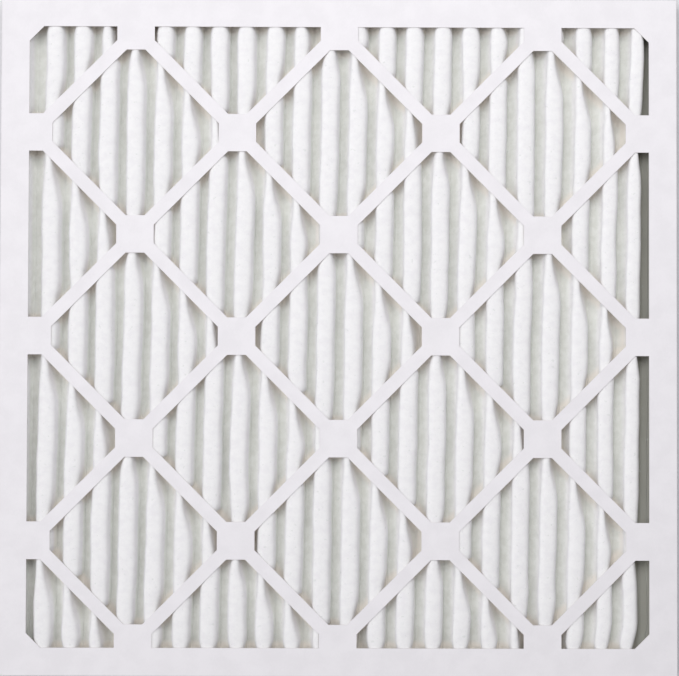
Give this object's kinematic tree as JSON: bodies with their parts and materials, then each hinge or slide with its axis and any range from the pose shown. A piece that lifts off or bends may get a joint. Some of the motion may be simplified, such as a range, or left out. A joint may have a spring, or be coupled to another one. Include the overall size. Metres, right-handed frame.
{
  "type": "pleated panel air filter",
  "caption": "Square pleated panel air filter: two nested paperboard trays with a diamond lattice face hold folded nonwoven media on a wire grid.",
  "frame": {"origin": "centre of the rear face, on which the panel lies flat", "axes": "+X across the pleats, +Y along the pleats, +Z through the thickness from the rear face to the front face"},
  "size_m": [0.4952, 0.4952, 0.0191],
  "materials": {
    "frame_board": "white lined paperboard, matt",
    "media": "soft nonwoven synthetic fibre, matt, off-white",
    "grid_wire": "galvanised, dull",
    "adhesive": "set hot-melt adhesive, waxy"
  },
  "bodies": {
    "root": {"front_frame": "frame_board", "rear_frame": "frame_board", "pleated_media": "media", "support_grid": "grid_wire", "end_seal_back": "adhesive", "end_seal_front": "adhesive", "side_seal_right": "adhesive", "side_seal_left": "adhesive"}
  },
  "joints": []
}
